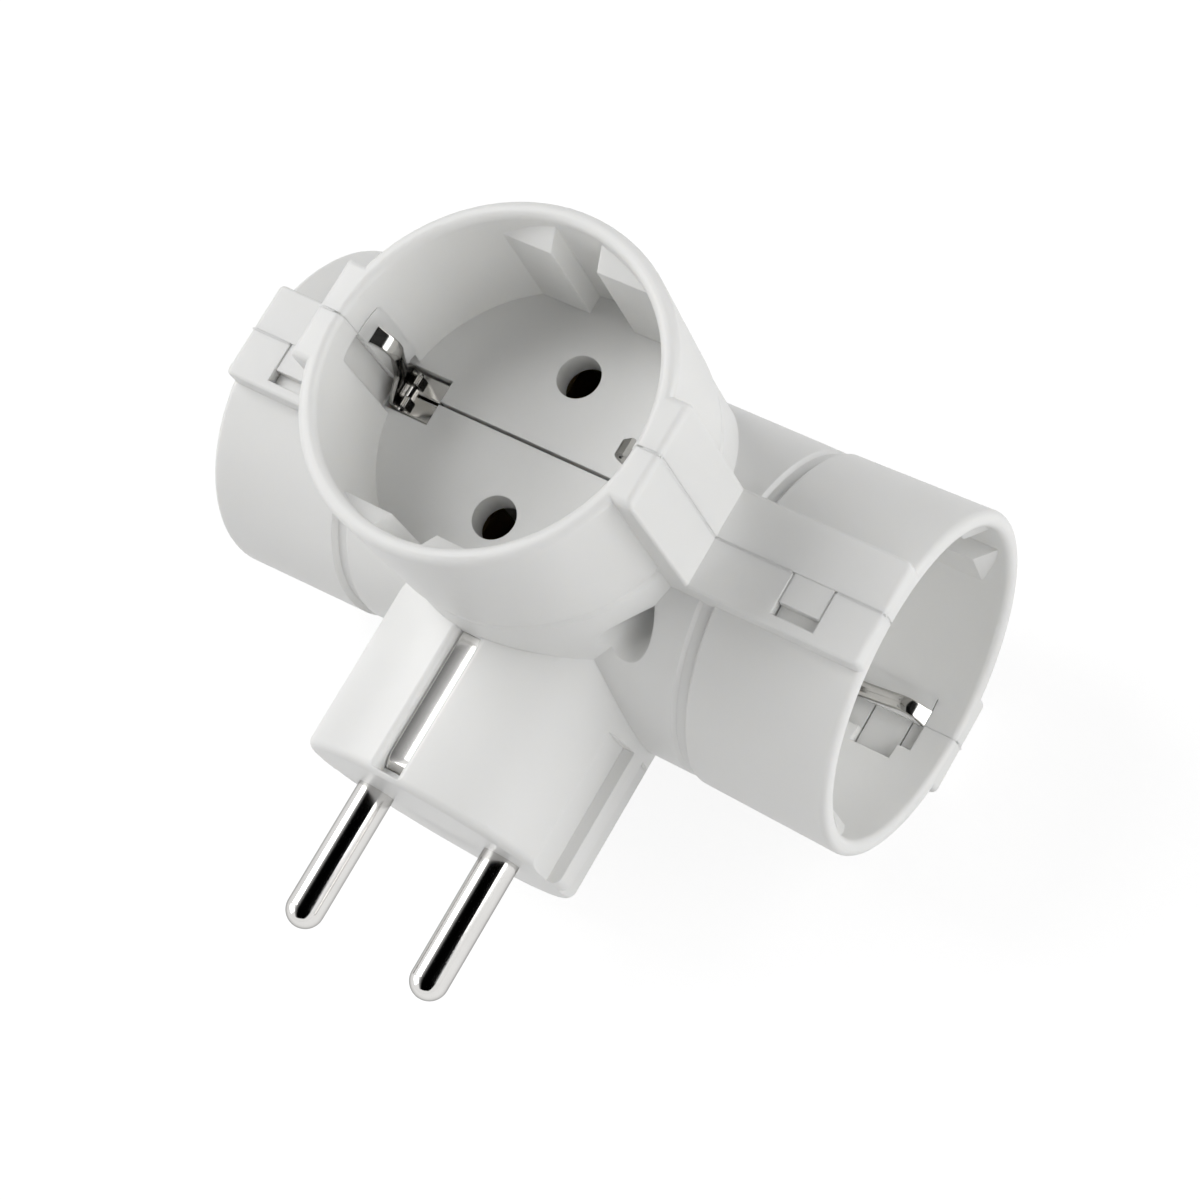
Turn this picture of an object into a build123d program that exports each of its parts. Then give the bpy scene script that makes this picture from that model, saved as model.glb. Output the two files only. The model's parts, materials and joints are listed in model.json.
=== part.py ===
import math
import os

from build123d import *

# Three-way earthed socket adapter, in millimetres.
# The axes of the three sockets and of the plug meet at the hub centre. X runs from the left socket
# to the right one, Z points out of the top socket and the plug points to -Y. The finished pieces are
# moved so that the origin lies in the middle of the plug face.

# Sockets
floor_reach = 27.0          # hub centre to the floor of each socket
recess_radius = 19.6
recess_depth = 18.0
pin_spacing = 19.0
hole_radius = 2.7
floor_thickness = 3.5

# Cup walls
rim_wall = 2.1              # wall at the rim
rim_round = 0.9             # rounding of both edges of the rim
cup_draft = 0.4             # the cup gets slimmer by this towards the hub
neck_step = 0.3             # the neck is slimmer than the cup by this
groove_width = 2.2          # ring between cup and neck
groove_depth = 0.45
groove_below_floor = 1.0

# Raised bands over the earth clips
band_width = 13.0
band_rise = 1.4             # band face above the rim of the cup
band_edge_round = 0.4

# Guide ribs in the recesses
rib_gap = 6.2               # keyway between the two ribs of a pair
rib_height = 2.6            # wall to the face of a rib
rib_cap_drop = 1.4          # rim to the cap, at the wall
rib_cap_fall = 2.4          # slope of the cap towards the middle

# Plug
plug_reach = 40.4           # hub centre to the plug face
plug_radius = 18.35
plug_edge_round = 1.2
key_depth = 1.65            # side flats that pass the ribs of a wall socket
key_width = 7.0
key_length = 18.0
ridge_width = 3.4           # ridge left between two flats
plug_pin_radius = 2.4
plug_pin_length = 19.0
pin_shank_radius = 2.1      # inside the plug, behind the shoulder on its face
pin_flange_radius = 3.2
pin_flange_thickness = 1.5
rivet_radius = 1.5
rivet_stand = 0.5           # rivet tail beyond the sheet

# Sheet metal
sheet_thickness = 0.8       # busbars, earth sheet and plug bow
spring_thickness = 0.5
clip_thickness = 0.7

# Busbars and contact springs
bus_width = 6.0
bus_offset = 4.0            # pin line to the near face of the busbar
strap_drop = 10.4           # plug axis to the lower edge of the neutral strap
strap_ahead = 3.7           # line busbar to the strap end at the neutral pin
spring_length = 10.0
spring_end_gap = 1.0
leaf_reach = 2.7            # leaf edge beyond the pin line

# Earth sheet, plug bow and clips
earth_bar_width = 3.0
cross_bar_drop = 4.3        # plug axis to the upper edge of the cross bar
bow_width = 2.9
bow_sink = 1.4              # strip face below the plug surface
bow_end_wall = 0.65         # plastic left in front of the strip ends
bow_tail = 3.5              # strip ends that turn inwards
bow_bend = 2.4
bow_mouth_round = 0.8       # long edges of the strip grooves
bow_ahead = 2.5             # line busbar to the upright part of the bow
earth_cover = 1.2           # plastic between the earth sheet and a band face
clip_width = 2.1            # spring arm of a clip
clip_offset = 0.5           # spring arm behind the seam
clip_tip_width = 2.3
clip_flare = 1.6            # length over which the tip gets wider
clip_foot_width = 4.4       # foot of a clip, folded up into the arm
clip_foot_drop = 1.0        # recess floor to the face of the foot
clip_foot_length = 4.7
clip_back_gap = 0.3         # recess wall to the upright part of the clip
clip_rise = 0.6             # upright part above the floor
clip_taper = 7.0            # length over which the foot narrows to the arm
clip_press = 4.7            # recess wall to the corner of the bend that touches a plug
clip_press_drop = 6.2       # rim to that corner
clip_tip_gap = 2.0          # recess wall to the free end
clip_tip_drop = 3.8         # rim to the free end
clip_bends = (1.2, 1.5, 4.0)
leg_length = 4.0            # legs of the foot that grip the earth sheet
leg_grip = 2.2
lug_gap = 1.6               # between the two lugs that stand on the foot
lug_width = 1.4
slot_width = 6.0            # floor slot of a clip
slot_length = 5.6           # recess wall to the inner end of the floor slot
slot_behind = 0.7           # floor slot behind the recess wall
slit_width = 0.4            # floor slit above the edge of the earth sheet
slit_depth = 3.5
pocket_width = 7.2          # wall pocket behind a clip
pocket_depth = 1.0
pocket_top_drop = 4.5       # rim to the upper end of the pocket

# Latches on the bands of the side cups
latch_drop = 9.0            # rim to the middle of a latch
latch_width = 5.3
window_length = 5.2         # seam to the far edge of the window
tongue_length = 3.6
lip_length = 5.6            # thin end that hooks under the window edge
lip_thickness = 1.2
tongue_sink = 0.1

# Screws beside the top cup
screw_clear = 1.9           # corner of the earth sheet to the screw axis, along X and along Z
well_radius = 2.7
seat_depth = 6.0            # seam to the screw seat
screw_head_radius = 2.3
screw_head_height = 1.8
screw_radius = 1.1
screw_length = 15.0
drive_width = 0.7
drive_depth = 0.9

# Clearances and seam
fit_gap = 0.1               # between parts that seat in each other
sheet_gap = 0.05            # each side of the earth sheet
leaf_gap = 0.05             # open leaf beyond the socket hole
channel_gap = 0.25
seam_width = 0.2
seam_depth = 0.2
overcut = 1.0               # how far a cutter runs past a face

# Derived places
rim_reach = floor_reach + recess_depth
cup_radius = recess_radius + rim_wall
cup_base_radius = cup_radius - cup_draft
neck_radius = cup_base_radius - neck_step
groove_radius = neck_radius - groove_depth
groove_end = floor_reach - groove_below_floor
groove_start = groove_end - groove_width
band_face = cup_radius + band_rise
pin_offset = pin_spacing / 2
channel_reach = floor_reach - floor_thickness
leaf_inside = hole_radius + leaf_gap
channel_half = leaf_inside + spring_thickness + channel_gap
bus_near = pin_offset + bus_offset
bus_far = bus_near + sheet_thickness
strap_front = bus_far + strap_ahead
bow_back = bus_far + bow_ahead
bow_face = plug_radius - bow_sink
bow_front = plug_reach - bow_end_wall - fit_gap
earth_top = floor_reach - slit_depth
earth_half = sheet_thickness / 2
earth_side = band_face - earth_cover
clip_back = recess_radius - clip_back_gap
clip_bulge = recess_radius - clip_press
clip_tip = recess_radius - clip_tip_gap
clip_foot = floor_reach - clip_foot_drop - clip_thickness / 2
slot_inner = recess_radius - slot_length
slot_outer = recess_radius + slot_behind
latch_middle = rim_reach - latch_drop
tongue_inside = recess_radius + pocket_depth
screw_place = earth_side - earth_bar_width - screw_clear
socket_turns = {"top": 0, "right": 90, "left": -90}
hub_place = Pos(0, plug_reach, 0)


def block(x_span, y_span, z_span):
    spans = (x_span, y_span, z_span)
    middle = [(low + high) / 2 for low, high in spans]
    return Pos(*middle) * Box(*[high - low for low, high in spans])


def rod_along_y(radius, y_span, x, z):
    low, high = y_span
    return Pos(x, (low + high) / 2, z) * Rot(90, 0, 0) * Cylinder(radius, high - low)


def turned(outline):
    with BuildPart() as part:
        with BuildSketch(Plane.XZ):
            with BuildLine():
                outline()
            make_face()
        revolve(axis=Axis.Z)
    return part.part


def at_sockets(piece):
    return [Rot(0, turn, 0) * piece for turn in socket_turns.values()]


def joined(pieces):
    first, *others = pieces
    return first.fuse(*others)


# One socket, with its axis along Z, its pin holes along Y and its earth clips along X

def cup_outline():
    round_centre = (cup_radius - rim_round, rim_reach - rim_round)
    Polyline(
        (0, rim_reach),
        (0, 0),
        (neck_radius, 0),
        (neck_radius, groove_start),
        (groove_radius, groove_start + groove_depth),
        (groove_radius, groove_end - groove_depth),
        (cup_base_radius, groove_end),
        (cup_radius, rim_reach - rim_round),
    )
    CenterArc(round_centre, rim_round, 0, 90)
    Line((cup_radius - rim_round, rim_reach), (0, rim_reach))


def recess_outline():
    mouth = recess_radius + rim_round
    Polyline((0, rim_reach + overcut), (0, floor_reach), (recess_radius, floor_reach),
             (recess_radius, rim_reach - rim_round))
    CenterArc((mouth, rim_reach - rim_round), rim_round, 90, 90)
    Polyline((mouth, rim_reach), (mouth, rim_reach + overcut), (0, rim_reach + overcut))


def guide_ribs():
    face = recess_radius - rib_height
    cap = rim_reach - rib_cap_drop
    profile = Polygon(
        (face, floor_reach - overcut),
        (face, cap - rib_cap_fall),
        (recess_radius, cap),
        (recess_radius + overcut, cap),
        (recess_radius + overcut, floor_reach - overcut),
        align=None,
    )
    rib = extrude(Plane.YZ * profile, recess_radius, dir=(1, 0, 0))
    bore = Pos(0, 0, floor_reach) * Cylinder(recess_radius + rim_wall / 2, 2 * recess_depth)
    rib = (Pos(rib_gap / 2, 0, 0) * rib) & bore
    pair = rib + mirror(rib, Plane.YZ)
    return pair + mirror(pair, Plane.XZ)


def band():
    piece = block((-band_face, band_face), (-band_width / 2, band_width / 2), (0, rim_reach))
    long_edges = piece.edges().filter_by(Axis.Z)
    piece = fillet(long_edges, band_edge_round)
    ends = piece.faces().sort_by(Axis.Z)[-1].edges()
    return fillet(ends, rim_round)


def clip_space():
    low = earth_top - earth_bar_width - channel_gap
    slot = block((slot_inner, slot_outer), (-slot_width / 2, slot_width / 2), (low, floor_reach + overcut))
    pocket = block((clip_bulge, tongue_inside), (-pocket_width / 2, pocket_width / 2),
                   (floor_reach, rim_reach - pocket_top_drop))
    space = slot + pocket
    return space + mirror(space, Plane.YZ)


def socket_cut():
    slit = block((-slot_inner, slot_inner), (-slit_width / 2, slit_width / 2),
                 (earth_top, floor_reach + overcut))
    hole = Pos(0, 0, channel_reach) * Cylinder(hole_radius, 2 * floor_thickness + overcut)
    return slit + Pos(0, pin_offset, 0) * hole + Pos(0, -pin_offset, 0) * hole + clip_space()


def seam_cut():
    reach = band_face - seam_depth
    around = block((-band_face - overcut, band_face + overcut), (-seam_width / 2, seam_width / 2),
                   (band_face, rim_reach + overcut))
    kept = block((-reach, reach), (-seam_width, seam_width), (0, rim_reach - seam_depth))
    return around - kept


# Plug body

def plug_outside():
    body = rod_along_y(plug_radius, (-plug_reach, 0), 0, 0)
    end_edge = body.edges().filter_by(GeomType.CIRCLE).sort_by(Axis.Y)[0]
    return fillet(end_edge, plug_edge_round)


def key_cut():
    flat = plug_radius - key_depth
    cut = block((flat, plug_radius + overcut), (-plug_reach - overcut, key_length - plug_reach),
                (ridge_width / 2, ridge_width / 2 + key_width))
    pair = cut + mirror(cut, Plane.XY)
    return pair + mirror(pair, Plane.YZ)


def bow_mouth(y_span):
    side = bow_width / 2 + fit_gap + bow_mouth_round
    low = math.sqrt(plug_radius ** 2 - side ** 2) - bow_mouth_round
    mouth = block((-side, side), y_span, (low, plug_radius + overcut))
    round_span = (y_span[0] - overcut, y_span[1] + overcut)
    for x in (-side, side):
        mouth -= rod_along_y(bow_mouth_round, round_span, x, low)
    return mouth


def bow_cut():
    half = bow_width / 2 + fit_gap
    inside = bow_face - sheet_thickness - fit_gap
    groove_front = -bow_front - fit_gap
    top_groove = block((-half, half), (groove_front, -neck_radius), (inside, plug_radius + overcut))
    low_groove = block((-half, half), (groove_front, -bow_back), (-plug_radius - overcut, -inside))
    mouth = bow_mouth((groove_front, -neck_radius))
    top_groove += mouth
    low_groove += mirror(mouth, Plane.XY)
    entry_side = bow_face - bow_tail
    entry = block((-half, half), (-bow_back - sheet_thickness, 0), (-entry_side, entry_side))
    around_bow = strip_from_path(bow_path(fit_gap), Plane.YZ, sheet_thickness + 2 * fit_gap, 2 * half)
    return top_groove + low_groove + entry + around_bow


# Room for the inner pieces

def conductor_cut():
    depth = bus_far + fit_gap
    channel = block((-channel_half, channel_half), (-depth, depth), (-channel_half, channel_reach))
    strap_span = (pin_offset - bus_width / 2 - channel_gap, pin_offset + bus_width / 2 + channel_gap)
    low = -strap_drop - channel_gap
    strap = block(strap_span, (-strap_front - sheet_thickness - fit_gap, depth), (low, channel_half))
    return joined(at_sockets(channel)) + strap


def earth_bar():
    low = earth_side - earth_bar_width
    bar = Pos(0, earth_top - earth_bar_width / 2) * Rectangle(2 * earth_side, earth_bar_width)
    upright = Rectangle(earth_bar_width, earth_top - low)
    end = Pos(earth_side - earth_bar_width / 2, (low + earth_top) / 2) * upright
    return bar + end + mirror(end, Plane.YZ)


def earth_corners():
    corner_place = earth_side - earth_bar_width / 2
    near = Pos(corner_place, corner_place) * Rectangle(earth_bar_width, earth_bar_width)
    far = mirror(near, Plane.YZ)
    right = make_hull((near + Rot(0, 0, -socket_turns["right"]) * far).edges())
    left = make_hull((far + Rot(0, 0, -socket_turns["left"]) * near).edges())
    return right + left


# The earth sheet is one stamping: a bar under each socket floor, joined at the corners and by a cross bar

def earth_outline():
    outline = Pos(0, -cross_bar_drop - earth_bar_width / 2) * Rectangle(2 * earth_top, earth_bar_width)
    for turn in socket_turns.values():
        outline += Rot(0, 0, -turn) * earth_bar()
    return outline + earth_corners()


def in_seam_plane(outline, thickness):
    return Plane.XZ * extrude(outline, thickness / 2, both=True)


def pin_cut(x, seat):
    shank = rod_along_y(pin_shank_radius + fit_gap / 2, (-plug_reach - overcut, -seat), x, 0)
    flange_span = (-seat - pin_flange_thickness - fit_gap, -bus_far + overcut)
    return shank + rod_along_y(pin_flange_radius + fit_gap, flange_span, x, 0)


def screw_cut(x):
    well = rod_along_y(well_radius, (-cup_radius, -seat_depth), x, screw_place)
    passage = rod_along_y(screw_radius + fit_gap, (-cup_radius, overcut), x, screw_place)
    thread_span = (0, screw_length - seat_depth + overcut)
    thread_hole = rod_along_y(screw_radius + fit_gap / 4, thread_span, x, screw_place)
    return well + passage + thread_hole


# Latches of the side cups, one on each band

def latch_span(gap):
    return (latch_middle - latch_width / 2 - gap, latch_middle + latch_width / 2 + gap)


def latch_window():
    window = block((recess_radius - overcut, band_face + overcut), (-window_length, 0), latch_span(fit_gap))
    lip_room = block((recess_radius - overcut, tongue_inside + lip_thickness + fit_gap),
                     (-lip_length - fit_gap, 0), latch_span(fit_gap))
    both = window + lip_room
    return both + mirror(both, Plane.YZ)


def latch_tongue():
    root = pocket_width / 4
    tongue = block((tongue_inside, band_face - tongue_sink), (-tongue_length, root), latch_span(-fit_gap))
    lip = block((tongue_inside, tongue_inside + lip_thickness), (-lip_length, root), latch_span(-fit_gap))
    both = tongue + lip
    return both + mirror(both, Plane.YZ)


def at_side_cups(piece):
    return [Rot(0, socket_turns[side], 0) * piece for side in ("left", "right")]


def housing():
    cup = turned(cup_outline)
    top, right, left = at_sockets(cup)
    body = top + right + left + plug_outside()
    for piece in at_sockets(band()):
        body += piece
    for piece in at_sockets(turned(recess_outline)):
        body -= piece
    for piece in at_sockets(guide_ribs()):
        body += piece
    for piece in at_sockets(socket_cut()) + at_sockets(seam_cut()):
        body -= piece
    bottom_seam = block((-band_face, band_face), (-seam_width / 2, seam_width / 2),
                        (-band_face - overcut, -band_face + seam_depth))
    body -= bottom_seam
    earth_room = in_seam_plane(offset(earth_outline(), channel_gap), sheet_thickness + 2 * sheet_gap)
    for piece in (key_cut(), bow_cut(), conductor_cut(), earth_room):
        body -= piece
    body -= pin_cut(-pin_offset, bus_far)
    body -= pin_cut(pin_offset, strap_front + sheet_thickness)
    for x in (-screw_place, screw_place):
        body -= screw_cut(x)
    return body


def shells():
    body = housing()
    reach = 2 * rim_reach
    front_half = block((-reach, reach), (-reach, 0), (-reach, reach))
    rear_half = block((-reach, reach), (0, reach), (-reach, reach))
    front = body & front_half
    rear = body & rear_half
    for piece in at_side_cups(latch_window()):
        front -= piece
    for piece in at_side_cups(latch_tongue()):
        rear += piece
    return {"front_shell": front, "rear_shell": rear}


# Current-carrying pieces

def plug_pin(x, seat):
    tip_centre = -plug_reach - plug_pin_length + plug_pin_radius
    pin = rod_along_y(plug_pin_radius, (tip_centre, -plug_reach), x, 0)
    pin += Pos(x, tip_centre, 0) * Sphere(plug_pin_radius)
    pin += rod_along_y(pin_shank_radius, (-plug_reach, -seat), x, 0)
    pin += rod_along_y(pin_flange_radius, (-seat - pin_flange_thickness, -seat), x, 0)
    return pin + rod_along_y(rivet_radius, (-seat, -seat + sheet_thickness + rivet_stand), x, 0)


def bus_tee(y_span):
    half = bus_width / 2
    return joined(at_sockets(block((-half, half), y_span, (0, channel_reach - channel_gap))))


def line_busbar():
    rivet = rod_along_y(rivet_radius, (-bus_far, -bus_near), -pin_offset, 0)
    return bus_tee((-bus_far, -bus_near)) - rivet


def neutral_busbar():
    half = bus_width / 2
    x_span = (pin_offset - half, pin_offset + half)
    front = (-strap_front - sheet_thickness, -strap_front)
    run_top = sheet_thickness - strap_drop
    piece = bus_tee((bus_near, bus_far))
    piece += block(x_span, (bus_near, bus_far), (-strap_drop, 0))
    piece += block(x_span, (front[0], bus_far), (-strap_drop, run_top))
    piece += block(x_span, front, (-strap_drop, half))
    return piece - rod_along_y(rivet_radius, front, pin_offset, 0)


def contact_spring():
    outer = leaf_inside + spring_thickness
    end = channel_reach - spring_end_gap
    along = (end - spring_length, end)
    base = block((-outer, outer), (bus_near - spring_thickness, bus_near), along)
    leaf = block((leaf_inside, outer), (pin_offset - leaf_reach, bus_near), along)
    return base + leaf + mirror(leaf, Plane.YZ)


def contact_springs():
    spring = contact_spring()
    sides = {"line": Rot(0, 0, 180) * spring, "neutral": spring}
    return {
        f"{socket}_{side}_spring": Rot(0, turn, 0) * piece
        for socket, turn in socket_turns.items()
        for side, piece in sides.items()
    }


# Earth pieces

def strip_from_path(path, plane, thickness, width):
    face = trace(path, thickness)
    return plane * extrude(face, width / 2, both=True)


def bow_path(end_gap):
    middle = sheet_thickness / 2
    high = bow_face - middle
    front = -bow_front + middle
    back = -bow_back - middle
    tail = bow_face - bow_tail - end_gap
    return FilletPolyline((front, tail), (front, high), (back, high), (back, -high), (front, -high),
                          (front, -tail), radius=bow_bend)


def plug_earth_bow():
    middle = sheet_thickness / 2
    bow = strip_from_path(bow_path(0), Plane.YZ, sheet_thickness, bow_width)
    tab_middle = -cross_bar_drop - earth_bar_width / 2
    tab = block((-bow_width / 2, bow_width / 2), (-bow_back - middle, -earth_half),
                (tab_middle - middle, tab_middle + middle))
    return bow + tab


def clip_plan():
    foot_level = floor_reach + clip_rise
    arm_level = foot_level + clip_taper
    tip_level = rim_reach - clip_tip_drop
    halves = [
        (clip_foot_width / 2, 0, 0),
        (clip_foot_width / 2, 0, foot_level),
        (clip_width / 2, clip_offset, arm_level),
        (clip_width / 2, clip_offset, tip_level - clip_flare),
        (clip_tip_width / 2, clip_offset, tip_level),
        (clip_tip_width / 2, clip_offset, rim_reach),
    ]
    near = [(middle + half, level) for half, middle, level in halves]
    far = [(middle - half, level) for half, middle, level in reversed(halves)]
    return extrude(Plane.YZ * Polygon(*near, *far, align=None), 2 * recess_radius, dir=(1, 0, 0))


def earth_clip():
    foot_end = clip_back - clip_foot_length
    path = FilletPolyline(
        (foot_end, clip_foot),
        (clip_back, clip_foot),
        (clip_back, floor_reach + clip_rise),
        (clip_bulge, rim_reach - clip_press_drop),
        (clip_tip, rim_reach - clip_tip_drop),
        radius=clip_bends,
    )
    strip = strip_from_path(path, Plane.XZ, clip_thickness, clip_foot_width) & clip_plan()
    leg_end = foot_end + leg_length
    lug_start = leg_end - clip_thickness
    foot_slit = block((foot_end - overcut, lug_start), (-slit_width / 2, slit_width / 2), (0, floor_reach))
    leg = block((foot_end, leg_end), (earth_half, earth_half + clip_thickness),
                (earth_top - leg_grip, clip_foot))
    lug = block((lug_start, leg_end), (lug_gap / 2, lug_gap / 2 + lug_width), (clip_foot, floor_reach))
    side = leg + lug
    return strip - foot_slit + side + mirror(side, Plane.XZ)


def earth_clips():
    clip = earth_clip()
    far_clip = mirror(clip, Plane.YZ)
    names = {"top": ("top_right", "top_left"), "right": ("right_lower", "right_upper"),
             "left": ("left_upper", "left_lower")}
    pieces = {}
    for socket, (near, far) in names.items():
        turn = Rot(0, socket_turns[socket], 0)
        pieces[f"{near}_earth_clip"] = turn * clip
        pieces[f"{far}_earth_clip"] = turn * far_clip
    return pieces


def housing_screw(x):
    head_span = (-seat_depth - screw_head_height, -seat_depth)
    head = rod_along_y(screw_head_radius, head_span, x, screw_place)
    shank = rod_along_y(screw_radius, (-seat_depth, screw_length - seat_depth), x, screw_place)
    half = drive_width / 2
    arm = screw_head_radius * 2 / 3
    drive_span = (head_span[0] - overcut, head_span[0] + drive_depth)
    drive = block((-arm, arm), drive_span, (-half, half)) + block((-half, half), drive_span, (-arm, arm))
    return head + shank - Pos(x, 0, screw_place) * drive


def all_pieces():
    pieces = shells()
    pieces["line_pin"] = plug_pin(-pin_offset, bus_far)
    pieces["neutral_pin"] = plug_pin(pin_offset, strap_front + sheet_thickness)
    pieces["line_busbar"] = line_busbar()
    pieces["neutral_busbar"] = neutral_busbar()
    pieces.update(contact_springs())
    pieces["earth_sheet"] = in_seam_plane(earth_outline(), sheet_thickness)
    pieces["plug_earth_bow"] = plug_earth_bow()
    pieces.update(earth_clips())
    pieces["housing_screws"] = Compound(children=[housing_screw(-screw_place), housing_screw(screw_place)])
    return pieces


os.makedirs("parts", exist_ok=True)
for name, piece in all_pieces().items():
    export_step(hub_place * piece, f"parts/{name}.step")
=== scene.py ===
import json
import math

import bpy
import numpy as np
from mathutils import Matrix, Vector


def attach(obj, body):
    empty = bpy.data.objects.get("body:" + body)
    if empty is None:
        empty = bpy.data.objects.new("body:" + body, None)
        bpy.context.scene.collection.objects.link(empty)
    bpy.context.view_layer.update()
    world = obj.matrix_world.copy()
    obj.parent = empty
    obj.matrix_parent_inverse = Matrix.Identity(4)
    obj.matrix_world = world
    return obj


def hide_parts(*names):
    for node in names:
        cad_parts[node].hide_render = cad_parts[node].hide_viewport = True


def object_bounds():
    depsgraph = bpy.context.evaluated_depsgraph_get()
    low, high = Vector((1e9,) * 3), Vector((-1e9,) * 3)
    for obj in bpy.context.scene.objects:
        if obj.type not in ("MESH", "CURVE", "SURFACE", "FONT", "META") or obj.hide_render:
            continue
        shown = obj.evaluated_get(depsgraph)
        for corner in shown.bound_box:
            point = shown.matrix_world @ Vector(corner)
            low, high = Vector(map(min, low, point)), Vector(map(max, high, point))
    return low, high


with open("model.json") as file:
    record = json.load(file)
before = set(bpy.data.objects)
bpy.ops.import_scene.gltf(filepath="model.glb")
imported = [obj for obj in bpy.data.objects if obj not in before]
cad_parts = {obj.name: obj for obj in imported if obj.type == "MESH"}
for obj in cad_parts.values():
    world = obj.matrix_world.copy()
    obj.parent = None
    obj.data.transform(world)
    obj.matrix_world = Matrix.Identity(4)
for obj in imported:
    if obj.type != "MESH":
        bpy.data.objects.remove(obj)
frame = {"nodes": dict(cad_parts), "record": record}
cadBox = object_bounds()
nodes = frame["nodes"]
print("frame loaded:", len(nodes), "pieces")


# materials

def newMaterial(name):
    material = bpy.data.materials.new(name)
    material.use_nodes = True
    tree = material.node_tree
    shader = tree.nodes["Principled BSDF"]
    coords = tree.nodes.new("ShaderNodeTexCoord")
    return material, tree, shader, coords.outputs["Object"]


def noise(tree, coords, scale, detail=2.0):
    node = tree.nodes.new("ShaderNodeTexNoise")
    node.inputs["Scale"].default_value = scale
    node.inputs["Detail"].default_value = detail
    tree.links.new(coords, node.inputs["Vector"])
    return node.outputs["Fac"]


def remap(tree, value, low, high):
    node = tree.nodes.new("ShaderNodeMapRange")
    node.inputs["To Min"].default_value = low
    node.inputs["To Max"].default_value = high
    tree.links.new(value, node.inputs["Value"])
    return node.outputs["Result"]


def blendColours(tree, factor, first, second):
    node = tree.nodes.new("ShaderNodeMix")
    node.data_type = "RGBA"
    node.inputs["A"].default_value = (*first, 1.0)
    node.inputs["B"].default_value = (*second, 1.0)
    tree.links.new(factor, node.inputs["Factor"])
    return node.outputs["Result"]


def bump(tree, shader, height, strength, distance):
    node = tree.nodes.new("ShaderNodeBump")
    node.inputs["Strength"].default_value = strength
    node.inputs["Distance"].default_value = distance
    tree.links.new(height, node.inputs["Height"])
    tree.links.new(node.outputs["Normal"], shader.inputs["Normal"])
    return node


def softEdges(tree, radius, samples=6):
    # rounds the shading of moulded edges
    node = tree.nodes.new("ShaderNodeBevel")
    node.samples = samples
    node.inputs["Radius"].default_value = radius
    return node.outputs["Normal"]


plastic = {
    "paleColour": (0.84, 0.84, 0.83),
    "deepColour": (0.81, 0.81, 0.795),
    "cloudScale": 60.0,        # slow drift of the moulded colour
    "grainScale": 2600.0,      # fine satin grain of the mould
    "grainDetail": 3.0,
    "grainStrength": 0.25,
    "grainDepth": 0.00002,
    "roughLow": 0.36,
    "roughHigh": 0.48,
    "edgeRound": 0.0002,
    "glowThrough": 0.25,       # light that spreads inside the wall
    "glowTint": (1.0, 0.95, 0.85),
    "glowDepth": 0.0015,
}


def makePlastic(name, edgeRound):
    material, tree, shader, coords = newMaterial(name)
    cloud = noise(tree, coords, plastic["cloudScale"])
    grain = noise(tree, coords, plastic["grainScale"], plastic["grainDetail"])
    colour = blendColours(tree, cloud, plastic["paleColour"], plastic["deepColour"])
    rough = remap(tree, grain, plastic["roughLow"], plastic["roughHigh"])
    tree.links.new(colour, shader.inputs["Base Color"])
    tree.links.new(rough, shader.inputs["Roughness"])
    shader.inputs["Subsurface Weight"].default_value = plastic["glowThrough"]
    shader.inputs["Subsurface Radius"].default_value = plastic["glowTint"]
    shader.inputs["Subsurface Scale"].default_value = plastic["glowDepth"]
    relief = bump(tree, shader, grain, plastic["grainStrength"], plastic["grainDepth"])
    if edgeRound:
        tree.links.new(softEdges(tree, edgeRound), relief.inputs["Normal"])
    return material


nickel = {
    "colour": (0.74, 0.73, 0.715),
    "dullColour": (0.64, 0.63, 0.61),
    "dullShare": (-0.4, 0.7),         # share of the dull colour from the clear places to the spots
    "grazingShadeTint": (0.36, 0.36, 0.36),   # painted shade: darkens the reflection at a grazing angle, where the pins mirror the shaded floor under them
    "roughLow": 0.085,
    "roughHigh": 0.1,
    "spotScale": 240.0,
    "spotDetail": 4.0,
    "scratchScale": 900.0,
}

# the earth clips' plating: the same nickel, set darker and rougher
darkerClipNickel = {
    "colour": (0.56, 0.55, 0.53),
    "dullColour": (0.40, 0.39, 0.37),
    "dullShare": (-0.4, 0.7),
    # painted shade: darkens grazing reflections, as on the bright nickel
    "grazingShadeTint": (0.36, 0.36, 0.36),
    "roughLow": 0.11,
    "roughHigh": 0.17,
    "spotScale": 320.0,
    "spotDetail": 4.0,
    "scratchScale": 1200.0,
}


def makeNickel(name, finish):
    material, tree, shader, coords = newMaterial(name)
    spots = noise(tree, coords, finish["spotScale"], finish["spotDetail"])
    scratches = noise(tree, coords, finish["scratchScale"])
    share = remap(tree, spots, *finish["dullShare"])
    colour = blendColours(tree, share, finish["colour"], finish["dullColour"])
    rough = remap(tree, scratches, finish["roughLow"], finish["roughHigh"])
    shader.inputs["Metallic"].default_value = 1.0
    # the specular tint darkens grazing reflections: painted shade standing in for the shaded floor seen
    # at the edges
    shader.inputs["Specular Tint"].default_value = (*finish["grazingShadeTint"], 1.0)
    tree.links.new(colour, shader.inputs["Base Color"])
    tree.links.new(rough, shader.inputs["Roughness"])
    return material


# painted shade: far darker than bright brass, standing in for the shade deep in the socket holes where
# the contacts sit; the spots add a dull tone that varies at random
brass = {
    "colour": (0.34, 0.26, 0.13),
    "dullColour": (0.16, 0.12, 0.065),
    "roughLow": 0.35,
    "roughHigh": 0.55,
    "spotScale": 180.0,
    "spotDetail": 4.0,
}

zinc = {
    "colour": (0.62, 0.63, 0.65),
    "dullColour": (0.46, 0.47, 0.49),
    "roughLow": 0.28,
    "roughHigh": 0.44,
    "spotScale": 420.0,
    "spotDetail": 4.0,
}


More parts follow.
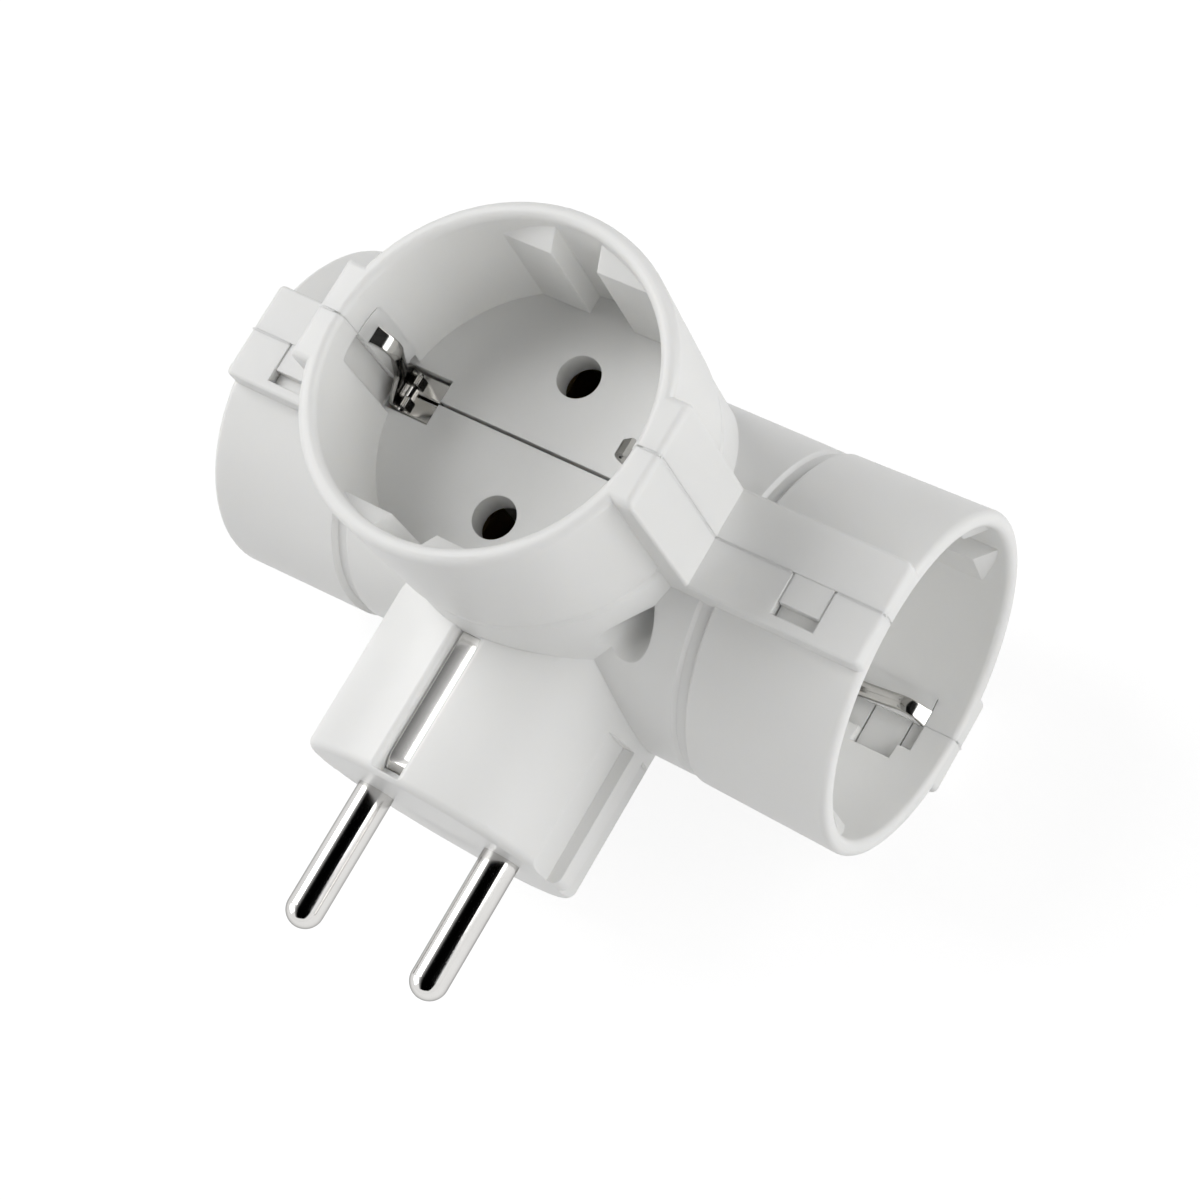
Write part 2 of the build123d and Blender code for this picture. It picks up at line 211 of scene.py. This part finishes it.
def makeDullMetal(name, finish):
    # the same spots set the colour and the roughness
    material, tree, shader, coords = newMaterial(name)
    spots = noise(tree, coords, finish["spotScale"], finish["spotDetail"])
    colour = blendColours(tree, spots, finish["colour"], finish["dullColour"])
    rough = remap(tree, spots, finish["roughLow"], finish["roughHigh"])
    shader.inputs["Metallic"].default_value = 1.0
    tree.links.new(colour, shader.inputs["Base Color"])
    tree.links.new(rough, shader.inputs["Roughness"])
    return material


slotMaterials = {
    "housing_plastic": makePlastic("satinWhitePlastic", plastic["edgeRound"]),
    "nickel_plate": makeNickel("brightNickelPlate", nickel),
    # brass darkened as painted shade for the contacts inside the holes
    "contact_brass": makeDullMetal("shadedDullBrassSheet", brass),
    "zinc_steel": makeDullMetal("zincPlatedScrew", zinc),
}
flushPlastic = makePlastic("flushWhitePlastic", 0)
clipNickel = makeNickel("darkerClipNickelPlate", darkerClipNickel)
for part in frame["record"]["subparts"]:
    node = nodes[part["node"]]
    node.data.materials.clear()
    node.data.materials.append(slotMaterials[part["material_slot"]])
print("materials set:", len(slotMaterials))


# shapes shared by the new pieces, in mm from the hub centre

hubPlace = 40.4                # plug face to the hub centre, along y
mmPerMetre = 1000
sharpAngle = 50                # degrees; flatter edges are shaded smooth


def eased(value):
    # smooth step from 0 to 1: three times the square less twice the cube
    value = np.clip(value, 0, 1)
    return value * value * (3 - 2 * value)


def roundedPath(corners, bends, steps=14):
    # straight runs joined by arcs; each arc touches both runs of its corner
    corners = np.array(corners)
    points = [corners[:1]]
    for before, corner, after, bend in zip(corners, corners[1:], corners[2:], bends):
        back = (before - corner) / np.linalg.norm(before - corner)
        ahead = (after - corner) / np.linalg.norm(after - corner)
        half = np.arccos(back @ ahead) / 2
        middle = (back + ahead) / np.linalg.norm(back + ahead)
        centre = corner + middle * bend / np.sin(half)
        swing = np.linspace(-1, 1, steps)[:, None] * (np.pi / 2 - half)
        across = np.array((-middle[1], middle[0]))
        side = np.sign(across @ ahead)
        points.append(centre - bend * (np.cos(swing) * middle - np.sin(swing) * across * side))
    points.append(corners[-1:])
    return np.concatenate(points)


def evenSteps(path, count):
    # points at equal distances along the path
    length = np.concatenate(([0], np.cumsum(np.linalg.norm(np.diff(path, axis=0), axis=1))))
    along = np.linspace(0, length[-1], count)
    return np.stack([np.interp(along, length, path[:, k]) for k in (0, 1)], 1)


def closedRows(rows):
    # quads between neighbouring rows of points, each row a closed ring, and one face over each end
    count, around = rows.shape[:2]
    corner = np.arange(count * around).reshape(count, around)
    ahead = np.roll(corner, -1, axis=1)
    quads = np.stack([corner[:-1], ahead[:-1], ahead[1:], corner[1:]], -1).reshape(-1, 4)
    return rows.reshape(-1, 3), quads, np.stack([corner[0, ::-1], corner[-1]])


def stripSection(flat=15, arc=5):
    # once round a flat strip: run and side give the straight parts,
    # out and up the quarter-circle edges
    turn = np.linspace(0, np.pi / 2, arc)
    across = np.linspace(1, -1, flat + 2)[1:-1]
    corners = ((1, 1, 0), (-1, 1, np.pi / 2), (-1, -1, np.pi), (1, -1, 1.5 * np.pi))
    arcs = [np.stack([np.full(arc, run), np.full(arc, side), np.cos(turn + start), np.sin(turn + start)])
            for run, side, start in corners]
    top = np.stack([across, np.ones(flat), np.zeros(flat), np.ones(flat)])
    under = np.stack([across[::-1], -np.ones(flat), np.zeros(flat), -np.ones(flat)])
    return np.concatenate([arcs[0], top, arcs[1], arcs[2], under, arcs[3]], 1)


def sweptStrip(path, low, high, crown, thickness, edge=0.14):
    # flat section with rounded edges between low and high, carried along the path;
    # the crown bends it into a parabola, half of it above the path and half below
    tangent = np.gradient(path, axis=0)
    tangent /= np.linalg.norm(tangent, axis=1)[:, None]
    normal = np.stack([-tangent[:, 1], tangent[:, 0]], 1)
    run, side, out, up = stripSection()
    half = (high - low)[:, None] / 2
    offset = run * (half - edge) + out * edge
    bow = crown[:, None] * (0.5 - (offset / half) ** 2)
    lift = side * (thickness / 2 - edge) + up * edge + bow
    across = (low + high)[:, None] / 2 + offset
    radial = path[:, :1] + normal[:, :1] * lift
    level = path[:, 1:] + normal[:, 1:] * lift
    return closedRows(np.stack([radial, across, level], -1))


def roundedBar(spans, edge=0.16, steps=6, endAngle=0.1):
    # rounded-oblong section carried along x; its core stays, its edge radius grows
    # by a quarter circle at each end, from an angle that leaves a small end face
    lows, highs = np.array(spans).T
    lowCore, highCore = lows + edge, highs - edge
    bend = np.linspace(endAngle, np.pi / 2, steps)
    along = np.concatenate([lowCore[0] - edge * np.cos(bend), highCore[0] + edge * np.cos(bend[::-1])])
    reach = edge * np.concatenate([np.sin(bend), np.sin(bend[::-1])])
    quarter = np.linspace(0, np.pi / 2, steps)
    angle = np.concatenate([quarter + turn * np.pi / 2 for turn in range(4)])
    cornerY = np.repeat([highCore[1], lowCore[1], lowCore[1], highCore[1]], steps)
    cornerZ = np.repeat([highCore[2], highCore[2], lowCore[2], lowCore[2]], steps)
    rows = np.stack(np.broadcast_arrays(along[:, None], cornerY + reach[:, None] * np.cos(angle),
                                        cornerZ + reach[:, None] * np.sin(angle)), -1)
    return closedRows(rows)


def gathered(pieces):
    # one list of points and one of faces, each piece's corner numbers moved on past the last piece
    starts = np.cumsum([0] + [len(points) for points, _, _ in pieces])
    points = np.concatenate([points for points, _, _ in pieces])
    faces = []
    for start, (_, quads, ends) in zip(starts, pieces):
        faces += (quads + start).tolist() + (ends + start).tolist()
    return points, faces


def addPiece(name, points, faces, material, replaced=None):
    mesh = bpy.data.meshes.new(name)
    mesh.from_pydata((points / mmPerMetre).tolist(), [], faces)
    mesh.shade_smooth()
    mesh.set_sharp_from_angle(angle=math.radians(sharpAngle))
    mesh.materials.append(material)
    piece = bpy.data.objects.new(name, mesh)
    bpy.context.scene.collection.objects.link(piece)
    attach(piece, "root")
    if replaced:
        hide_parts(replaced)


def atSocket(points, turn):
    # turns about y through the hub centre, then moves the hub centre to its place
    angle = math.radians(turn)
    x, y, z = points.T
    return np.stack([x * math.cos(angle) + z * math.sin(angle), y + hubPlace,
                     z * math.cos(angle) - x * math.sin(angle)], 1)


# earth clips: crowned spring strips that replace the plain ones

earthClip = {
    "path": ((14.6, 25.65), (19.3, 25.65), (19.3, 27.6), (15.0, 39.0), (17.45, 41.0)),
    "bends": (1.2, 1.5, 2.5),
    "steps": 120,
    "thickness": 0.6,
    "footHalf": 2.7,
    "armHalf": 0.95,
    "tipHalf": 1.12,
    "armOffset": 0.5,
    "taper": (27.4, 32.0),     # levels between which the foot narrows to the arm
    "flare": 2.0,              # length of the wider, flat tip
    "flatten": 3.0,            # run below the tip over which the crown fades
    "crown": 0.42,             # rise of the middle of the arm above its edges
    "slitHalf": 0.15,
    "footEnd": 17.9,           # end of the slit in the foot
    "legs": ((14.6, 18.6), (0.4, 1.1), (21.3, 25.7)),
    "lugs": ((17.9, 18.6), (0.8, 2.2), (25.6, 26.95)),
}

# turn of the socket about y in degrees, and the side of it that the clip is on
clipPlaces = {
    "top_right_earth_clip": (0, 1), "top_left_earth_clip": (0, -1),
    "right_lower_earth_clip": (90, 1), "right_upper_earth_clip": (90, -1),
    "left_upper_earth_clip": (-90, 1), "left_lower_earth_clip": (-90, -1),
}


def clipShape():
    # strip along the path: its half width goes from foot to arm with the level and widens
    # to the tip by the square of the way there; the crown fades out below the tip
    clip = earthClip
    path = evenSteps(roundedPath(clip["path"], clip["bends"]), clip["steps"])
    starts, ends = clip["taper"]
    level = path[:, 1]
    blend = eased((level - starts) / (ends - starts))
    along = np.cumsum(np.linalg.norm(np.diff(path, axis=0, append=path[-1:]), axis=1))
    fromTip = along[-1] - along
    widen = np.clip(1 - fromTip / clip["flare"], 0, 1) ** 2
    bowed = eased((fromTip - clip["flare"]) / clip["flatten"])
    half = clip["footHalf"] + (clip["armHalf"] - clip["footHalf"]) * blend
    half = half + (clip["tipHalf"] - clip["armHalf"]) * widen
    middle = clip["armOffset"] * blend
    crown = clip["crown"] * blend * bowed
    foot = (path[:, 0] <= clip["footEnd"]) & (level < starts)
    arm = ~foot
    arm[np.argmax(arm) - 1] = True     # the arm starts at the foot's last point, so that they meet
    thickness = clip["thickness"]
    strips = [sweptStrip(path[arm], (middle - half)[arm], (middle + half)[arm], crown[arm], thickness)]
    inner = np.full(foot.sum(), clip["slitHalf"])
    outer = half[foot]
    strips.append(sweptStrip(path[foot], inner, outer, crown[foot], thickness))
    strips.append(sweptStrip(path[foot], -outer, -inner, crown[foot], thickness))
    for spans in (clip["legs"], clip["lugs"]):
        low, high = spans[1]
        strips.append(roundedBar(spans))
        strips.append(roundedBar((spans[0], (-high, -low), spans[2])))
    return gathered(strips)


def makeClips():
    points, faces = clipShape()
    for name, (turn, side) in clipPlaces.items():
        placed = atSocket(points * (side, 1, 1), turn)
        outward = [face[::side] for face in faces]
        addPiece(name + "_strip", placed, outward, clipNickel, name)


makeClips()
print("earth clips made:", len(clipPlaces))


# plug earth strip: one bent strip with a slightly hollow face, and a tab to the earth sheet

plugStrip = {
    "path": ((-39.25, 13.45), (-39.25, 16.55), (-17.2, 16.55), (-17.2, -16.55), (-39.25, -16.55),
             (-39.25, -13.45)),
    "bends": (2.4, 2.4, 2.4, 2.4),
    "steps": 260,
    "half": 1.45,
    "thickness": 0.76,
    "hollow": 0.07,            # fall of the middle of the face below its edges
    "tab": ((-17.4, -0.4), (-1.45, 1.45), (-6.2, -5.4)),
}


def makePlugStrip():
    # strip of even width along the path in the plane of y and z; the hollow is a crown below zero
    strip = plugStrip
    path = evenSteps(roundedPath(strip["path"], strip["bends"]), strip["steps"])
    half = np.full(len(path), strip["half"])
    hollow = np.full(len(path), -strip["hollow"])
    points, faces = gathered([sweptStrip(path, -half, half, hollow, strip["thickness"]),
                              roundedBar(strip["tab"])])
    along, across, level = points.T
    placed = np.stack([across, along + hubPlace, level], 1)
    outward = [face[::-1] for face in faces]
    addPiece("plug_earth_bow_strip", placed, outward, slotMaterials["nickel_plate"],
             "plug_earth_bow")


makePlugStrip()
print("plug earth strip made")


# wall pads: they close the rear half of the pocket behind each clip, flush with the recess wall

wallPad = {
    "radius": 19.585,          # face of the pad, from the socket axis
    "back": 20.62,
    "ySpan": (0.0, 3.9),
    "levels": (28.7, 40.4),
    "steps": 24,
}


def padShape():
    # face on a cylinder about the socket axis, flat back; the same ring of corners at both levels
    across = np.linspace(*wallPad["ySpan"], wallPad["steps"])
    face = np.sqrt(wallPad["radius"] ** 2 - across ** 2)
    ring = np.stack([np.append(face, [wallPad["back"]] * 2), np.append(across, across[[-1, 0]])], 1)
    rows = np.stack([np.column_stack([ring, np.full(len(ring), level)]) for level in wallPad["levels"]])
    return gathered([closedRows(rows)])


def makePads():
    points, faces = padShape()
    for name, (turn, side) in clipPlaces.items():
        placed = atSocket(points * (side, 1, 1), turn)
        outward = [face[::-side] for face in faces]
        addPiece(name.replace("earth_clip", "wall_pad"), placed, outward, flushPlastic)


makePads()
print("wall pads made:", len(clipPlaces))


# seam fill: plastic that leaves only a faint line of each seam and latch gap

seamFill = {
    "face": (22.7, 23.065),    # bottom of the fill and its face, just below the band
    "halfWidth": 0.12,
    "bandRun": (23.0, 44.6),
    "rimFace": (44.6, 44.96),
    "rimRun": (20.8, 22.9),
    "latchRun": (33.1, 38.9),  # stays open for the latch
    "gapFace": (22.4, 22.93),
    "gapRun": (-3.55, -0.15),
    "gapLevels": (33.35, 38.65),
    "edge": 0.02,
    "edgeSteps": 3,
    "bottomTurn": 180,
}


def fillBars(bars):
    return gathered([roundedBar(spans, seamFill["edge"], seamFill["edgeSteps"]) for spans in bars])


def fillShape(latched):
    # bars along the seam of one band and over its rim, and beside the tongue where there is a latch
    fill = seamFill
    half = fill["halfWidth"]
    (low, high), (latchLow, latchHigh) = fill["bandRun"], fill["latchRun"]
    runs = ((low, latchLow), (latchHigh, high)) if latched else ((low, high),)
    bars = [(fill["face"], (-half, half), run) for run in runs]
    bars.append((fill["rimRun"], (-half, half), fill["rimFace"]))
    if latched:
        bars += [(fill["gapFace"], fill["gapRun"], (level - half, level + half))
                 for level in fill["gapLevels"]]
    return fillBars(bars)


def makeSeamFill():
    for name, (turn, side) in clipPlaces.items():
        points, faces = fillShape(turn != 0)     # the bands of the side sockets have latches
        placed = atSocket(points * (side, 1, 1), turn)
        outward = [face[::side] for face in faces]
        addPiece(name.replace("earth_clip", "seam_fill"), placed, outward, flushPlastic)
    low, half = seamFill["bandRun"][0], seamFill["halfWidth"]
    points, faces = fillBars([((-low, low), (-half, half), seamFill["face"])])
    placed = atSocket(points, seamFill["bottomTurn"])
    addPiece("bottom_seam_fill", placed, faces, flushPlastic)


makeSeamFill()
print("seams filled:", len(clipPlaces) + 1)


# floor, surroundings and lamps

def emptyMaterial(name):
    material = bpy.data.materials.new(name)
    material.use_nodes = True
    material.node_tree.nodes.clear()
    return material, material.node_tree


def addSheet(name, corners, material):
    mesh = bpy.data.meshes.new(name)
    mesh.from_pydata(corners, [], [(0, 1, 2, 3)])
    mesh.materials.append(material)
    sheet = bpy.data.objects.new(name, mesh)
    bpy.context.scene.collection.objects.link(sheet)
    return sheet


def seenDirectly(tree):
    # 1 for camera, mirror and glass rays and 0 for the rest: the largest of the three
    path = tree.nodes.new("ShaderNodeLightPath")
    total = path.outputs["Is Camera Ray"]
    for ray in ("Is Glossy Ray", "Is Transmission Ray"):
        larger = tree.nodes.new("ShaderNodeMath")
        larger.operation = "MAXIMUM"
        tree.links.new(total, larger.inputs[0])
        tree.links.new(path.outputs[ray], larger.inputs[1])
        total = larger.outputs[0]
    return total


floorSettings = {
    "halfSize": 6.0,
    "bounce": 0.6,             # light thrown back at the object
    "shade": 0.22,             # how much of the lamps' light and shadow shows on it
    "glow": 0.86,
}


def makeFloor():
    material, tree = emptyMaterial("whiteFloor")
    bounce = tree.nodes.new("ShaderNodeBsdfDiffuse")
    bounce.inputs["Color"].default_value = (*[floorSettings["bounce"]] * 3, 1.0)
    shade = tree.nodes.new("ShaderNodeBsdfDiffuse")
    shade.inputs["Color"].default_value = (*[floorSettings["shade"]] * 3, 1.0)
    glow = tree.nodes.new("ShaderNodeEmission")
    glow.inputs["Strength"].default_value = floorSettings["glow"]
    seen = tree.nodes.new("ShaderNodeAddShader")
    either = tree.nodes.new("ShaderNodeMixShader")
    output = tree.nodes.new("ShaderNodeOutputMaterial")
    tree.links.new(shade.outputs[0], seen.inputs[0])
    tree.links.new(glow.outputs[0], seen.inputs[1])
    tree.links.new(seenDirectly(tree), either.inputs[0])
    tree.links.new(bounce.outputs[0], either.inputs[1])
    tree.links.new(seen.outputs[0], either.inputs[2])
    tree.links.new(either.outputs[0], output.inputs["Surface"])
    half = floorSettings["halfSize"]
    level = cadBox[0][2]
    corners = [(-half, -half, level), (half, -half, level), (half, half, level), (-half, half, level)]
    floor = addSheet("floor", corners, material)


# painted reflection: a black sheet above the table, seen only in mirror rays, that paints the metal's
# dark stripes and a grey fading edge; it casts no shadow and lights nothing
reflectionOnlyCard = {
    "height": 0.55,
    "xSpan": (-0.35, 1.1),
    "ySpan": (-1.5, 0.5),
    "fadeTo": -0.07,           # the left edge is grey and fades to black here
    "edgeGlow": 0.66,
}


def makeReflectionOnlyCard():
    # the glow of this painted reflection is a smooth step along x, black at fadeTo and half way up at
    # the left edge
    (left, right), (near, far), height = reflectionOnlyCard["xSpan"], reflectionOnlyCard["ySpan"], reflectionOnlyCard["height"]
    material, tree = emptyMaterial("paintedReflectionCard")
    coords = tree.nodes.new("ShaderNodeTexCoord")
    split = tree.nodes.new("ShaderNodeSeparateXYZ")
    fade = tree.nodes.new("ShaderNodeMapRange")
    fade.interpolation_type = "SMOOTHSTEP"
    fade.inputs["From Min"].default_value = reflectionOnlyCard["fadeTo"]
    fade.inputs["From Max"].default_value = 2 * left - reflectionOnlyCard["fadeTo"]
    fade.inputs["To Max"].default_value = 2 * reflectionOnlyCard["edgeGlow"]
    glow = tree.nodes.new("ShaderNodeEmission")
    output = tree.nodes.new("ShaderNodeOutputMaterial")
    tree.links.new(coords.outputs["Object"], split.inputs["Vector"])
    tree.links.new(split.outputs["X"], fade.inputs["Value"])
    tree.links.new(fade.outputs["Result"], glow.inputs["Strength"])
    tree.links.new(glow.outputs[0], output.inputs["Surface"])
    corners = [(left, near, height), (left, far, height), (right, far, height), (right, near, height)]
    card = addSheet("reflectionOnlyCard", corners, material)
    # seen only in mirror rays: a painted reflection, not a card that blocks light
    card.visible_camera = False
    card.visible_diffuse = False
    card.visible_shadow = False


worldSettings = {
    "ambient": 0.03,           # soft light from all around
    "backdrop": 1.0,           # white where it is seen or mirrored
}


def makeWorld():
    world = bpy.data.worlds.new("paleStudio")
    bpy.context.scene.world = world
    world.use_nodes = True
    tree = world.node_tree
    background = tree.nodes["Background"]
    background.inputs["Color"].default_value = (1.0, 1.0, 1.0, 1.0)
    strength = remap(tree, seenDirectly(tree), worldSettings["ambient"], worldSettings["backdrop"])
    tree.links.new(strength, background.inputs["Strength"])


# soft boxes: turn and rise in degrees around the object; metal shows only the mirrored ones
lampDistance = 0.9
lamps = {
    "leftBox": {"turn": 168, "rise": 47, "wide": 0.5, "high": 0.7, "power": 5.0, "mirrored": True},
    "sideBox": {"turn": 212, "rise": 28, "wide": 0.6, "high": 0.5, "power": 2.3, "mirrored": True},
    "rightBox": {"turn": 335, "rise": 30, "wide": 0.6, "high": 0.5, "power": 2.2, "mirrored": False},
    "rearBox": {"turn": 28, "rise": 20, "wide": 0.8, "high": 0.7, "power": 4.9, "mirrored": True},
    "frontBox": {"turn": 285, "rise": 10, "wide": 0.6, "high": 0.4, "power": 0.9, "mirrored": False},
}


def makeLamp(name, lamp, target):
    light = bpy.data.lights.new(name, "AREA")
    light.shape = "RECTANGLE"
    light.size = lamp["wide"]
    light.size_y = lamp["high"]
    light.energy = lamp["power"]
    holder = bpy.data.objects.new(name, light)
    turn, rise = math.radians(lamp["turn"]), math.radians(lamp["rise"])
    arm = Vector((math.cos(rise) * math.cos(turn), math.cos(rise) * math.sin(turn), math.sin(rise)))
    holder.location = target + arm * lampDistance
    holder.rotation_euler = (-arm).to_track_quat("-Z", "Y").to_euler()
    holder.visible_glossy = lamp["mirrored"]
    bpy.context.scene.collection.objects.link(holder)


makeFloor()
makeReflectionOnlyCard()
makeWorld()
middle = (Vector(cadBox[0]) + Vector(cadBox[1])) / 2
for name, lamp in lamps.items():
    makeLamp(name, lamp, middle)
print("floor, surroundings and", len(lamps), "lamps set")


# camera: place and turn worked out from the photographed edges

cameraSettings = {
    "place": (0.139418, -0.023140, 0.275847),
    "right": (0.8123466, 0.50096258, -0.29854563),
    "down": (0.38825245, -0.84657036, -0.36411353),
    "forward": (-0.43514713, 0.17987532, -0.8822085),
    "focalPixels": 2577.79,
    "imagePixels": 1200.0,
    "sensorWidth": 36.0,
    "nearLimit": 0.01,
}


def makeCamera():
    settings = cameraSettings
    data = bpy.data.cameras.new("camera")
    data.sensor_width = settings["sensorWidth"]
    data.lens = settings["focalPixels"] / settings["imagePixels"] * settings["sensorWidth"]
    data.clip_start = settings["nearLimit"]
    camera = bpy.data.objects.new("camera", data)
    right = Vector(settings["right"])
    up = -Vector(settings["down"])
    back = -Vector(settings["forward"])
    turn = Matrix((right, up, back)).transposed().to_4x4()
    camera.matrix_world = Matrix.Translation(settings["place"]) @ turn
    bpy.context.scene.collection.objects.link(camera)
    bpy.context.scene.camera = camera


makeCamera()
bpy.context.scene.view_settings.view_transform = "Standard"
print("camera set")
